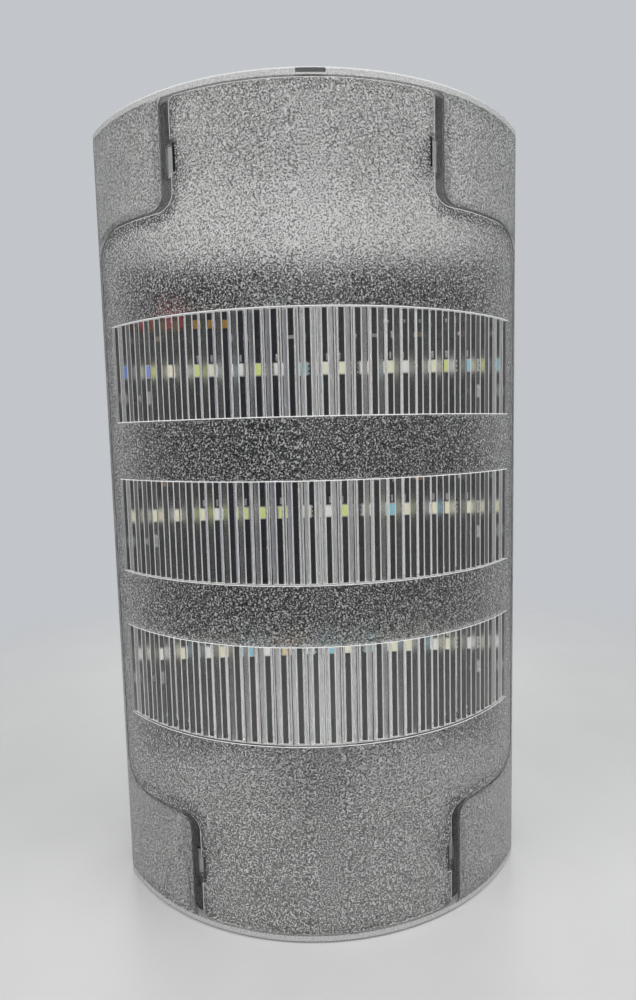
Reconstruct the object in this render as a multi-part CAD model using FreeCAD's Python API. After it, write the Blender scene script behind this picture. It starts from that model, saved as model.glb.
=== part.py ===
import FreeCAD, Part
import math
import os

# A half-round signal light for a wall: three light tiers, one above the other, behind the ribbed windows
# of one curved cover. Millimetres, +Z up, -Y towards the viewer, +Y to the wall. The origin is the middle
# of the flat bottom end.

Vector = FreeCAD.Vector
ALONG_Y = Vector(0, 1, 0)
ALONG_Z = Vector(0, 0, 1)
BEYOND = 12.0                # how far a cutting tool reaches past what it cuts

# --- Driving dimensions: the envelope ---
HEIGHT = 260.0
DEPTH = 80.0
FACE_RADIUS = 82.5           # radius of the curved front
SEAM_ANGLE = 57.7            # where the curved front ends, each side of the middle, degrees
SIDE_BLEND = 14.6            # radius between the curved front and the flat side
REAR_CORNER = 6.0
RIM_BREAK = 0.8              # chamfer round the top and bottom rims
WALL = 2.4

# --- Front opening and cover ---
TAB_HALF_WIDTH = 44.2        # from the middle to the corner panels
KEY_STEP = 4.8               # the top right panel reaches this much further in, so the cover fits one way up
TOP_PANEL_HEIGHT = 33.5
BOTTOM_PANEL_HEIGHT = 36.6
PANEL_CORNER = 4.5
SHOULDER_CORNER = 9.0
TAB_CORNER = 2.0
COVER_THICKNESS = 2.4
GROOVE_WIDTH = 3.2           # open groove beside the cover's tabs
SHOULDER_GAP = 0.7           # gap above and below the cover's shoulders
SEAM_GAP = 0.35              # gap at the cover's sides and ends
SEAT_GAP = 0.3               # cover to ledge
COVER_EDGE_BREAK = 0.35      # chamfer round the cover's outer face
LEDGE_THICKNESS = 1.8
LEDGE_LAP = 1.7              # how far the ledge reaches behind the cover's edge
RIM_LAP = 2.0                # how far the ledge's root reaches behind the corner panels

# --- Catches ---
CATCH_FROM_END = 19.2
CATCH_HEIGHT = 9.6
NOTCH_DEPTH = 1.5
ARM_THICKNESS = 2.2          # part of it laps the cover behind the notch
ARM_LENGTH = 11.0
ARM_CLEARANCE = 0.35
RELEASE_SLOT_LENGTH = 8.0
RELEASE_SLOT_HEIGHT = 1.1
RELEASE_SLOT_DEPTH = 5.0

# --- Windows and prism ribs ---
TIERS = ("bottom", "middle", "top")
TIER_PITCH = 50.0
WINDOW_HEIGHT = 31.2
RIBS_EACH_SIDE = 15
RIB_PITCH_ANGLE = 3.54       # degrees
RIB_GAP = 0.35
RIB_DEPTH = 1.5
RIB_FLANK = 1.4              # width of each sloping flank
RIB_ROOT = 0.6               # how far a rib is sunk into the cover

# --- Boards and carrier ---
BOARD_FRONT = 3.5            # Y of the light boards' front faces
BOARD_THICKNESS = 1.6
BOARD_HEIGHT = 31.0
TOP_BOARD_EXTRA = 15.0       # the top board is taller, for the control parts
LED_ROW_OFFSET = 1.8         # light row above the window's middle
CARRIER_THICKNESS = 2.5
CARRIER_SIDE_ROOM = 6.4      # housing wall to carrier, each side
CARRIER_MARGIN = 1.2         # carrier past the boards at each side
CARRIER_TOP_MARGIN = 6.0     # carrier above the boards
CARRIER_BLOCK_ROOM = 0.6     # terminal block to the carrier, which reaches down to it behind the windows
CARRIER_CORNER = 4.0
CARRIER_RIM_DEPTH = 5.0
CARRIER_RIM_THICKNESS = 1.6
SCREW_INSET = 5.0            # board screw from the board's side edge
SCREW_DROP = 9.0             # board screw below the light row
BOSS_WIDTH = 8.0

# --- Light packages and small parts ---
LEDS_PER_ROW = 16
LED_END_ROOM = 4.2           # board's side edge to the last light
LED_SIZE = 4.6
LED_THICKNESS = 1.5
BALLAST = (3.2, 2.4, 0.8)    # the resistor above each light
BALLAST_RISE = 4.0           # its middle above the light row
DRIVER_ROW_RISE = 11.0       # small parts above the light row
DRIVER_SIZES = ((3.0, 1.6, 1.1), (2.0, 1.2, 0.6), (2.0, 1.2, 0.6), (4.6, 2.4, 1.4))
DRIVERS_PER_ROW = 15         # one in front of each gap between lights
LINK_WIDTH = 12.0
LINK_THICKNESS = 2.6
LINK_LAP = 2.8
LINK_X = 20.0

CONTROL_ROW_RISE = 15.6      # middle of the control parts above the light row
FILM_CAPACITOR = (7.0, 8.5, 8.0)
FILM_CAPACITOR_INSET = 12.0  # board's left edge to the capacitor
FILM_CAPACITOR_BREAK = 0.5
TANTALUM = (3.5, 2.8, 1.9)
TANTALUM_COUNT = 3
TANTALUM_PITCH = 5.0
TANTALUM_GAP = 1.8
CAN_RADIUS = 2.6
CAN_LENGTH = 5.6
CAN_BASE = (5.6, 0.9)
CAN_PITCH = 8.0
CAN_COUNT = 2
CAN_GAP = 3.8
CHIP = (9.0, 6.2, 1.6)
CHIP_PITCH = 14.0
CHIP_COUNT = 2
CHIP_X = 2.0
RESISTOR = (2.0, 1.25, 0.6)
RESISTOR_PITCH = 3.6
RESISTOR_COUNT = 10
RESISTOR_INSET = 3.6         # board's right edge to the last resistor

# --- Wiring space ---
TERMINAL_POLES = 5
POLE_PITCH = 5.0
TERMINAL_Z = 37.3
TERMINAL_BOARD_FRONT = 22.0
TERMINAL_BOARD_WIDTH = 44.0
TERMINAL_BOARD_HEIGHT = 20.0
RAIL_WIDTH = 5.0
RAIL_LIP = 1.6               # rail in front of the board's edge
RAIL_GRIP = 1.5              # how far the rail's groove holds the board
RAIL_CLEARANCE = 0.1
TERMINAL_BLOCK_DEPTH = 14.0
TERMINAL_BLOCK_HEIGHT = 12.0
TERMINAL_BLOCK_CHEEK = 1.0
BUTTON = (3.2, 4.0, 5.0)
BUTTON_STAND = 1.8
BUTTON_TRAVEL = 1.5
BUTTON_CLEARANCE = 0.3
WIRE_MOUTH = 2.8
WIRE_MOUTH_DEPTH = 8.0
WIRE_MOUTH_FROM_BOARD = 4.5

# --- Screws ---
SCREW_RADIUS = 1.4
SCREW_CLEARANCE = 0.05       # screw shank to its hole
SCREW_LENGTH = 16.0
SCREW_TIP_ROOM = 2.0
SCREW_HEAD_RADIUS = 2.6
SCREW_HEAD_HEIGHT = 1.8

# --- Wall fixing and cable entry ---
WALL_HOLE_RADIUS = 2.25
WALL_HOLE_X = 30.0
WALL_HOLE_FROM_END = 12.0
CABLE_ENTRY_Z = 16.0
CABLE_ENTRY_SIZE = 16.0      # square
GROMMET_FIT = 0.1
GROMMET_FLANGE_WIDTH = 3.0
GROMMET_FLANGE_THICKNESS = 2.6
GROMMET_NOSE = 4.0
GROMMET_NOSE_SIZE = 11.0
GROMMET_BORE = 3.5
CORNER_RIB_X = 52.6
CORNER_RIB_THICKNESS = 2.4
CORNER_RIB_HEIGHT = 12.0
CORNER_RIB_DEPTH = 5.0

# --- Derived sizes ---
FRONT = -DEPTH / 2
BACK = DEPTH / 2
BACK_INSIDE = BACK - WALL
ARC_CENTRE = Vector(0, FRONT + FACE_RADIUS, 0)
SEAM = math.radians(SEAM_ANGLE)
SEAM_X = FACE_RADIUS * math.sin(SEAM)
SEAT_RADIUS = FACE_RADIUS - COVER_THICKNESS - SEAT_GAP
LEDGE_RADIUS = SEAT_RADIUS - LEDGE_THICKNESS
COVER_INSIDE_RADIUS = FACE_RADIUS - COVER_THICKNESS
CARRIER_FRONT = BOARD_FRONT + BOARD_THICKNESS
CARRIER_BACK = CARRIER_FRONT + CARRIER_THICKNESS
RIB_PITCH = math.radians(RIB_PITCH_ANGLE)
PILOT_RADIUS = SCREW_RADIUS + SCREW_CLEARANCE
PILOT_END = BOARD_FRONT + SCREW_LENGTH + SCREW_TIP_ROOM
INSIDE_HALF_WIDTH = (FACE_RADIUS - SIDE_BLEND) * math.sin(SEAM) + SIDE_BLEND - WALL
BOARD_WIDTH = 2 * (INSIDE_HALF_WIDTH - CARRIER_SIDE_ROOM - CARRIER_MARGIN)
LED_PITCH = (BOARD_WIDTH - 2 * LED_END_ROOM - LED_SIZE) / (LEDS_PER_ROW - 1)
TIER_MIDDLES = [HEIGHT / 2 + (index - 1) * TIER_PITCH for index in range(len(TIERS))]
LED_ROWS = [middle + LED_ROW_OFFSET for middle in TIER_MIDDLES]
SCREW_X = BOARD_WIDTH / 2 - SCREW_INSET
SCREW_PLACES = [(side * SCREW_X, row - SCREW_DROP) for row in LED_ROWS for side in (-1, 1)]
TERMINAL_BOARD_BACK = TERMINAL_BOARD_FRONT + BOARD_THICKNESS
TERMINAL_FRONT = TERMINAL_BOARD_FRONT - TERMINAL_BLOCK_DEPTH
WALL_HOLE_PLACES = [(side * WALL_HOLE_X, z) for z in (WALL_HOLE_FROM_END, HEIGHT - WALL_HOLE_FROM_END)
                    for side in (-1, 1)]
CATCH_ROWS = (CATCH_FROM_END, HEIGHT - CATCH_FROM_END)


# --- Shape helpers ---
def block(low_x, high_x, low_y, high_y, low_z, high_z):
    return Part.makeBox(high_x - low_x, high_y - low_y, high_z - low_z, Vector(low_x, low_y, low_z))


def part_block(size, x, z, seat):
    """A block of size (x, z, y), centred on x and z, standing forward from the face at seat."""
    return block(x - size[0] / 2, x + size[0] / 2, seat - size[2], seat, z - size[1] / 2, z + size[1] / 2)


def rod(radius, x, z, low_y, high_y):
    return Part.makeCylinder(radius, high_y - low_y, Vector(x, low_y, z), ALONG_Y)


def polar(radius, angle):
    """A point on a circle round the front's centre; the angle is from straight ahead, towards +X."""
    return ARC_CENTRE + Vector(radius * math.sin(angle), -radius * math.cos(angle), 0)


def closed_face(edges):
    return Part.Face(Part.Wire(Part.__sortEdges__(edges)))


def line(start, end):
    return Part.LineSegment(start, end).toShape()


def arc(start, middle, end):
    return Part.Arc(start, middle, end).toShape()


def body_section(inset):
    """The half-round section seen from above, moved inwards by inset."""
    blend = SIDE_BLEND - inset
    blend_centre = polar(FACE_RADIUS - SIDE_BLEND, SEAM)
    side = blend_centre.x + blend
    back = BACK - inset
    corner = REAR_CORNER - inset
    slack = corner * (1 - math.sqrt(0.5))
    seam = polar(FACE_RADIUS - inset, SEAM)
    half_way = (SEAM + math.pi / 2) / 2
    blend_middle = blend_centre + Vector(math.sin(half_way), -math.cos(half_way), 0) * blend
    right = [seam, blend_middle, Vector(side, blend_centre.y, 0), Vector(side, back - corner, 0),
             Vector(side - slack, back - slack, 0), Vector(side - corner, back, 0)]
    left = [Vector(-point.x, point.y, 0) for point in right]
    edges = [arc(left[0], polar(FACE_RADIUS - inset, 0), right[0])]
    for points in (left, right):
        edges.append(arc(points[0], points[1], points[2]))
        edges.append(line(points[2], points[3]))
        edges.append(arc(points[3], points[4], points[5]))
    edges.append(line(left[5], right[5]))
    return closed_face(edges)


def curved_slab(outer_radius, inner_radius):
    """A tall curved slab, concentric with the front, wider than the light."""
    reach = math.radians(80)
    outer = [polar(outer_radius, angle) for angle in (-reach, 0, reach)]
    inner = [polar(inner_radius, angle) for angle in (-reach, 0, reach)]
    edges = [arc(*outer), arc(*inner), line(outer[0], inner[0]), line(outer[2], inner[2])]
    slab = closed_face(edges).extrude(ALONG_Z * (HEIGHT + 2 * BEYOND))
    slab.translate(ALONG_Z * -BEYOND)
    return slab


def rounded_face(corners):
    """A face in the XZ plane with corners (x, z, radius), each rounded by a tangent arc."""
    arcs = []
    for index, (x, z, radius) in enumerate(corners):
        here = Vector(x, 0, z)
        before = Vector(corners[index - 1][0], 0, corners[index - 1][1])
        after = Vector(corners[(index + 1) % len(corners)][0], 0, corners[(index + 1) % len(corners)][1])
        to_before = (before - here).normalize()
        to_after = (after - here).normalize()
        half = to_before.getAngle(to_after) / 2
        reach = radius / math.tan(half)
        inward = (to_before + to_after).normalize()
        middle = here + inward * (radius / math.sin(half) - radius)
        arcs.append((here + to_before * reach, middle, here + to_after * reach))
    edges = []
    for index, (start, middle, end) in enumerate(arcs):
        edges.append(arc(start, middle, end))
        edges.append(line(end, arcs[(index + 1) % len(arcs)][0]))
    return closed_face(edges)


def opening_prism(side_gap, tab_gap, shoulder_gap, end_gap, growth):
    """The front opening's outline, smaller by the gaps, pulled straight back through the front.

    Growth is what the outline's inward corners gain in radius and its outward corners lose."""
    side = SEAM_X - side_gap
    tab = TAB_HALF_WIDTH - tab_gap
    keyed_tab = tab - KEY_STEP
    low_end = WALL + end_gap
    high_end = HEIGHT - WALL - end_gap
    low_shoulder = BOTTOM_PANEL_HEIGHT + shoulder_gap
    high_shoulder = HEIGHT - TOP_PANEL_HEIGHT - shoulder_gap
    inward = PANEL_CORNER + growth
    outward = SHOULDER_CORNER - growth
    corners = [(-tab, low_end, TAB_CORNER), (tab, low_end, TAB_CORNER), (tab, low_shoulder, inward),
               (side, low_shoulder, outward), (side, high_shoulder, outward),
               (keyed_tab, high_shoulder, inward), (keyed_tab, high_end, TAB_CORNER),
               (-tab, high_end, TAB_CORNER), (-tab, high_shoulder, inward),
               (-side, high_shoulder, outward), (-side, low_shoulder, outward), (-tab, low_shoulder, inward)]
    prism = rounded_face(corners).extrude(ALONG_Y * (DEPTH + BEYOND))
    prism.translate(ALONG_Y * (FRONT - BEYOND))
    return prism


def tab_edges():
    """For each catch: the side it is on, the corner panel's edge there, and its height."""
    places = []
    for z in CATCH_ROWS:
        for side in (-1, 1):
            keyed = side > 0 and z > HEIGHT / 2
            places.append((side, TAB_HALF_WIDTH - (KEY_STEP if keyed else 0), z))
    return places


def side_block(side, near_x, far_x, low_y, high_y, low_z, high_z):
    """A block between two distances from the middle, on the left (-1) or the right (1)."""
    low_x, high_x = sorted((side * near_x, side * far_x))
    return block(low_x, high_x, low_y, high_y, low_z, high_z)


def screw(x, z):
    """A round-headed screw along +Y, its head against a light board."""
    head = rod(SCREW_HEAD_RADIUS, x, z, BOARD_FRONT - SCREW_HEAD_HEIGHT, BOARD_FRONT)
    return head.fuse(rod(SCREW_RADIUS, x, z, BOARD_FRONT, BOARD_FRONT + SCREW_LENGTH)).removeSplitter()


def save(name, shape):
    shape.exportStep("parts/" + name + ".step")


# --- The moulded housing and cover ---
def rear_housing():
    outer = body_section(0).extrude(ALONG_Z * HEIGHT)
    rims = [edge for edge in outer.Edges if edge.BoundBox.ZLength < 1e-4]
    outer = outer.makeChamfer(RIM_BREAK, rims)
    inner = body_section(WALL).extrude(ALONG_Z * (HEIGHT - 2 * WALL))
    inner.translate(ALONG_Z * WALL)
    housing = outer.cut(inner)

    # The ledge that the cover rests on, with its root behind the corner panels.
    root = opening_prism(-RIM_LAP, -RIM_LAP, -RIM_LAP, -RIM_LAP / 2, -RIM_LAP)
    root = root.common(curved_slab(FACE_RADIUS - WALL / 2, LEDGE_RADIUS)).common(outer)
    housing = housing.fuse(root)
    opening = opening_prism(0, 0, 0, 0, 0).common(curved_slab(FACE_RADIUS + BEYOND, SEAT_RADIUS))
    through = opening_prism(SEAM_GAP + LEDGE_LAP, GROOVE_WIDTH + LEDGE_LAP, SHOULDER_GAP + LEDGE_LAP,
                            SEAM_GAP + LEDGE_LAP, LEDGE_LAP)
    through = through.common(curved_slab(FACE_RADIUS + BEYOND, LEDGE_RADIUS - BEYOND))
    housing = housing.cut(opening).cut(through)

    # Slots in the ledge for the cover's catch arms, and the release slot in the top rim.
    for side, edge, z in tab_edges():
        slot_inner = edge - GROOVE_WIDTH - LEDGE_LAP - 1
        slot_outer = edge - GROOVE_WIDTH / 2
        housing = housing.cut(side_block(side, slot_inner, slot_outer, FRONT, 0,
                                         z - CATCH_HEIGHT / 2, z + CATCH_HEIGHT / 2))
    slot_middle = HEIGHT - WALL / 2
    housing = housing.cut(block(-RELEASE_SLOT_LENGTH / 2, RELEASE_SLOT_LENGTH / 2,
                                FRONT - 1, FRONT + RELEASE_SLOT_DEPTH,
                                slot_middle - RELEASE_SLOT_HEIGHT / 2, slot_middle + RELEASE_SLOT_HEIGHT / 2))

    # Bosses on the back wall, which take the board screws, and rails for the terminal board.
    for x, z in SCREW_PLACES:
        boss = part_block((BOSS_WIDTH, BOSS_WIDTH, BACK_INSIDE + WALL / 2 - CARRIER_BACK), x, z,
                          BACK_INSIDE + WALL / 2)
        housing = housing.fuse(boss)
        housing = housing.cut(rod(PILOT_RADIUS, x, z, CARRIER_BACK, PILOT_END))
    board_edge = TERMINAL_BOARD_WIDTH / 2
    board_half = TERMINAL_BOARD_HEIGHT / 2
    for side in (-1, 1):
        rail = side_block(side, board_edge - RAIL_GRIP, board_edge - RAIL_GRIP + RAIL_WIDTH,
                          TERMINAL_BOARD_FRONT - RAIL_CLEARANCE - RAIL_LIP, BACK_INSIDE + WALL / 2,
                          TERMINAL_Z - board_half, TERMINAL_Z + board_half)
        groove = side_block(side, 0, board_edge + RAIL_CLEARANCE, TERMINAL_BOARD_FRONT - RAIL_CLEARANCE,
                            TERMINAL_BOARD_BACK + RAIL_CLEARANCE, TERMINAL_Z - board_half + RAIL_LIP,
                            TERMINAL_Z + board_half + BEYOND)
        housing = housing.fuse(rail.cut(groove))

    # Wall screw holes, the cable entry, and the stiffening ribs of the lower corners.
    for x, z in WALL_HOLE_PLACES:
        housing = housing.cut(rod(WALL_HOLE_RADIUS, x, z, BACK_INSIDE - 1, BACK + 1))
    entry = CABLE_ENTRY_SIZE / 2
    housing = housing.cut(block(-entry, entry, BACK_INSIDE - 1, BACK + 1,
                                CABLE_ENTRY_Z - entry, CABLE_ENTRY_Z + entry))
    for side in (-1, 1):
        rib = side_block(side, CORNER_RIB_X, CORNER_RIB_X + CORNER_RIB_THICKNESS, FRONT, 0,
                         WALL / 2, WALL + CORNER_RIB_HEIGHT)
        inside = FACE_RADIUS - WALL / 2
        housing = housing.fuse(rib.common(curved_slab(inside, FACE_RADIUS - WALL - CORNER_RIB_DEPTH)))
    return housing.removeSplitter()


def prism_rib(index, low_z):
    """One upright window rib with two sloping flanks; index 0 is the first to the right of the middle."""
    angle = (index + 0.5) * RIB_PITCH
    root_radius = COVER_INSIDE_RADIUS + RIB_ROOT
    tip_radius = COVER_INSIDE_RADIUS - RIB_DEPTH
    root_half = COVER_INSIDE_RADIUS * RIB_PITCH / 2 - RIB_GAP / 2
    tip_half = root_half - RIB_FLANK
    middle = polar(1, angle) - ARC_CENTRE
    across = Vector(-middle.y, middle.x, 0)
    root = ARC_CENTRE + middle * root_radius
    foot = ARC_CENTRE + middle * COVER_INSIDE_RADIUS
    tip = ARC_CENTRE + middle * tip_radius
    points = [root - across * root_half, foot - across * root_half, tip - across * tip_half,
              tip + across * tip_half, foot + across * root_half, root + across * root_half]
    edges = [line(points[i], points[(i + 1) % len(points)]) for i in range(len(points))]
    rib = closed_face(edges).extrude(ALONG_Z * WINDOW_HEIGHT)
    rib.translate(ALONG_Z * low_z)
    return rib


def on_front(edge):
    """Whether an edge lies on the curved outer face."""
    return all(abs(Vector(vertex.X, vertex.Y, 0).distanceToPoint(ARC_CENTRE) - FACE_RADIUS) < 1e-3
               for vertex in edge.Vertexes)


def front_cover():
    cover = opening_prism(SEAM_GAP, GROOVE_WIDTH, SHOULDER_GAP, SEAM_GAP, SHOULDER_GAP)
    cover = cover.common(curved_slab(FACE_RADIUS, COVER_INSIDE_RADIUS))
    cover = cover.makeChamfer(COVER_EDGE_BREAK, [edge for edge in cover.Edges if on_front(edge)])
    ribs = [prism_rib(index, middle - WINDOW_HEIGHT / 2) for middle in TIER_MIDDLES
            for index in range(-RIBS_EACH_SIDE, RIBS_EACH_SIDE)]
    cover = cover.multiFuse(ribs)
    for side, edge, z in tab_edges():
        rim = edge - GROOVE_WIDTH
        half = CATCH_HEIGHT / 2
        cover = cover.cut(side_block(side, rim - NOTCH_DEPTH, rim + 1, FRONT, 0, z - half, z + half))
        arm_outer = rim - ARM_CLEARANCE
        arm_middle = polar(COVER_INSIDE_RADIUS, math.asin(arm_outer / COVER_INSIDE_RADIUS)).y
        half -= ARM_CLEARANCE
        arm = side_block(side, arm_outer - ARM_THICKNESS, arm_outer, FRONT, arm_middle + ARM_LENGTH,
                         z - half, z + half)
        arm = arm.common(curved_slab(COVER_INSIDE_RADIUS + RIB_ROOT, COVER_INSIDE_RADIUS - ARM_LENGTH))
        cover = cover.fuse(arm)
    return cover.removeSplitter()


# --- Boards, lights and their carrier ---
def board_span(tier):
    """Bottom and top Z of one light board."""
    row = LED_ROWS[tier]
    extra = TOP_BOARD_EXTRA if tier == len(TIERS) - 1 else 0
    return row - BOARD_HEIGHT / 2, row + BOARD_HEIGHT / 2 + extra


def board_carrier():
    """A tray with a rim to the back, which stiffens the row of light boards."""
    half = BOARD_WIDTH / 2 + CARRIER_MARGIN
    low = TERMINAL_Z + TERMINAL_BLOCK_HEIGHT / 2 + CARRIER_BLOCK_ROOM
    high = board_span(len(TIERS) - 1)[1] + CARRIER_TOP_MARGIN
    rim_end = CARRIER_BACK + CARRIER_RIM_DEPTH
    rim = CARRIER_RIM_THICKNESS
    outline = rounded_face([(-half, low, CARRIER_CORNER), (half, low, CARRIER_CORNER),
                            (half, high, CARRIER_CORNER), (-half, high, CARRIER_CORNER)])
    outline.translate(ALONG_Y * CARRIER_FRONT)
    carrier = outline.extrude(ALONG_Y * (rim_end - CARRIER_FRONT))
    carrier = carrier.cut(block(-half + rim, half - rim, CARRIER_BACK, rim_end + 1, low + rim, high - rim))
    for x, z in SCREW_PLACES:
        carrier = carrier.cut(rod(PILOT_RADIUS, x, z, CARRIER_FRONT - 1, CARRIER_BACK + 1))
    return carrier.removeSplitter()


def led_board(tier):
    low, high = board_span(tier)
    board = block(-BOARD_WIDTH / 2, BOARD_WIDTH / 2, BOARD_FRONT, BOARD_FRONT + BOARD_THICKNESS, low, high)
    for x, z in SCREW_PLACES:
        board = board.cut(rod(PILOT_RADIUS, x, z, BOARD_FRONT - 1, BOARD_FRONT + BOARD_THICKNESS + 1))
    return board


def led_row(tier):
    size = (LED_SIZE, LED_SIZE, LED_THICKNESS)
    return row_of(size, -(LEDS_PER_ROW - 1) / 2 * LED_PITCH, LED_PITCH, LEDS_PER_ROW, LED_ROWS[tier])


def driver_row(tier):
    """A ballast resistor above each light, and a mixed row of drive parts further up."""
    first_light = -(LEDS_PER_ROW - 1) / 2 * LED_PITCH
    ballast = row_of(BALLAST, first_light, LED_PITCH, LEDS_PER_ROW, LED_ROWS[tier] + BALLAST_RISE)
    first = -(DRIVERS_PER_ROW - 1) / 2 * LED_PITCH
    z = LED_ROWS[tier] + DRIVER_ROW_RISE
    drive = [part_block(DRIVER_SIZES[index % len(DRIVER_SIZES)], first + index * LED_PITCH, z, BOARD_FRONT)
             for index in range(DRIVERS_PER_ROW)]
    return Part.makeCompound(ballast.Solids + drive)


def board_links():
    """Plug strips that bridge the gaps between neighbouring light boards."""
    links = []
    for tier in range(len(TIERS) - 1):
        low = board_span(tier)[1] - LINK_LAP
        high = board_span(tier + 1)[0] + LINK_LAP
        for x in (-LINK_X, LINK_X):
            links.append(block(x - LINK_WIDTH / 2, x + LINK_WIDTH / 2,
                               BOARD_FRONT - LINK_THICKNESS, BOARD_FRONT, low, high))
    return Part.makeCompound(links)


def row_of(size, first_x, pitch, count, z):
    return Part.makeCompound([part_block(size, first_x + index * pitch, z, BOARD_FRONT)
                              for index in range(count)])


FILM_CAPACITOR_X = -BOARD_WIDTH / 2 + FILM_CAPACITOR_INSET + FILM_CAPACITOR[0] / 2
TANTALUM_X = FILM_CAPACITOR_X + (FILM_CAPACITOR[0] + TANTALUM[0]) / 2 + TANTALUM_GAP
CAN_X = TANTALUM_X + (TANTALUM_COUNT - 1) * TANTALUM_PITCH + TANTALUM[0] / 2 + CAN_GAP + CAN_BASE[0] / 2
RESISTOR_X = BOARD_WIDTH / 2 - RESISTOR_INSET - (RESISTOR_COUNT - 1) * RESISTOR_PITCH
CONTROL_Z = LED_ROWS[-1] + CONTROL_ROW_RISE
CONTROL_TOP_Z = board_span(len(TIERS) - 1)[1] - CHIP[1]


def film_capacitor():
    case = part_block(FILM_CAPACITOR, FILM_CAPACITOR_X, CONTROL_Z + FILM_CAPACITOR[1] / 4, BOARD_FRONT)
    front = [edge for edge in case.Edges if edge.CenterOfMass.y < BOARD_FRONT - 1]
    return case.makeChamfer(FILM_CAPACITOR_BREAK, front)


def electrolytic_capacitors():
    cans = []
    for index in range(CAN_COUNT):
        x = CAN_X + index * CAN_PITCH
        base = part_block((CAN_BASE[0], CAN_BASE[0], CAN_BASE[1]), x, CONTROL_TOP_Z, BOARD_FRONT)
        can = rod(CAN_RADIUS, x, CONTROL_TOP_Z, BOARD_FRONT - CAN_LENGTH, BOARD_FRONT)
        cans.append(base.fuse(can).removeSplitter())
    return Part.makeCompound(cans)


# --- Wiring space ---
def terminal_board():
    low = TERMINAL_Z - TERMINAL_BOARD_HEIGHT / 2 + RAIL_LIP
    return block(-TERMINAL_BOARD_WIDTH / 2, TERMINAL_BOARD_WIDTH / 2,
                 TERMINAL_BOARD_FRONT, TERMINAL_BOARD_BACK,
                 low, TERMINAL_Z + TERMINAL_BOARD_HEIGHT / 2)


def pole_places():
    return [(index - (TERMINAL_POLES - 1) / 2) * POLE_PITCH for index in range(TERMINAL_POLES)]


def terminal_block():
    half_width = TERMINAL_POLES * POLE_PITCH / 2 + TERMINAL_BLOCK_CHEEK
    low = TERMINAL_Z - TERMINAL_BLOCK_HEIGHT / 2
    housing = block(-half_width, half_width, TERMINAL_FRONT, TERMINAL_BOARD_FRONT,
                    low, low + TERMINAL_BLOCK_HEIGHT)
    pocket_depth = BUTTON[2] - BUTTON_STAND + BUTTON_TRAVEL + BUTTON_CLEARANCE
    pocket = (BUTTON[0] + 2 * BUTTON_CLEARANCE, BUTTON[1] + 2 * BUTTON_CLEARANCE, pocket_depth + 1)
    mouth_y = TERMINAL_BOARD_FRONT - WIRE_MOUTH_FROM_BOARD
    for x in pole_places():
        housing = housing.cut(part_block(pocket, x, TERMINAL_Z, TERMINAL_FRONT + pocket_depth))
        half = WIRE_MOUTH / 2
        housing = housing.cut(block(x - half, x + half, mouth_y - half, mouth_y + half,
                                    low - 1, low + WIRE_MOUTH_DEPTH))
    return housing


def terminal_button(x):
    return part_block(BUTTON, x, TERMINAL_Z, TERMINAL_FRONT - BUTTON_STAND + BUTTON[2])


def cable_grommet():
    """A square rubber sleeve in the back wall, with a flange inside and a tapered nose."""
    def square(size, y):
        half = size / 2
        corners = [Vector(x * half, y, CABLE_ENTRY_Z + z * half)
                   for x, z in ((-1, -1), (1, -1), (1, 1), (-1, 1))]
        return Part.makePolygon(corners + corners[:1])

    plug = CABLE_ENTRY_SIZE - 2 * GROMMET_FIT
    flange = CABLE_ENTRY_SIZE + 2 * GROMMET_FLANGE_WIDTH
    flange_front = BACK_INSIDE - GROMMET_FLANGE_THICKNESS
    sleeve = Part.Face(square(plug, BACK_INSIDE)).extrude(ALONG_Y * WALL)
    sleeve = sleeve.fuse(Part.Face(square(flange, flange_front)).extrude(ALONG_Y * GROMMET_FLANGE_THICKNESS))
    nose_end = flange_front - GROMMET_NOSE
    nose = Part.makeLoft([square(plug, flange_front), square(GROMMET_NOSE_SIZE, nose_end)], True)
    sleeve = sleeve.fuse(nose)
    return sleeve.cut(rod(GROMMET_BORE, 0, CABLE_ENTRY_Z, nose_end - 1, BACK + 1)).removeSplitter()


# --- Write the parts ---
os.makedirs("parts", exist_ok=True)
save("rear_housing", rear_housing())
save("front_cover", front_cover())
save("board_carrier", board_carrier())
for tier, name in enumerate(TIERS):
    save("led_board_" + name, led_board(tier))
    save("leds_" + name, led_row(tier))
    save("driver_parts_" + name, driver_row(tier))
save("board_links", board_links())
save("film_capacitor", film_capacitor())
save("tantalum_capacitors", row_of(TANTALUM, TANTALUM_X, TANTALUM_PITCH, TANTALUM_COUNT, CONTROL_Z))
save("electrolytic_capacitors", electrolytic_capacitors())
save("control_chips", row_of(CHIP, CHIP_X, CHIP_PITCH, CHIP_COUNT, CONTROL_TOP_Z))
save("control_resistors", row_of(RESISTOR, RESISTOR_X, RESISTOR_PITCH, RESISTOR_COUNT, CONTROL_Z))
save("board_screws", Part.makeCompound([screw(x, z) for x, z in SCREW_PLACES]))
save("terminal_board", terminal_board())
save("terminal_block", terminal_block())
for index, x in enumerate(pole_places()):
    save("terminal_button_" + str(index + 1), terminal_button(x))
save("cable_grommet", cable_grommet())
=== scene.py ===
# %% [markdown]
# # A half-round signal light in frosted plastic
# The light is one clear moulding round another: a frosted housing that stands on its flat end, and a curved
# cover with three polished windows. Behind them sit black boards with rows of lights. The construction comes
# from CAD as a fixed frame. Here we dress it: smooth shading for the mouldings, small parts for the boards,
# and a material for every surface.

# %% Load the frame
import bpy
import bmesh
import math
from mathutils import Matrix, Vector


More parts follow.
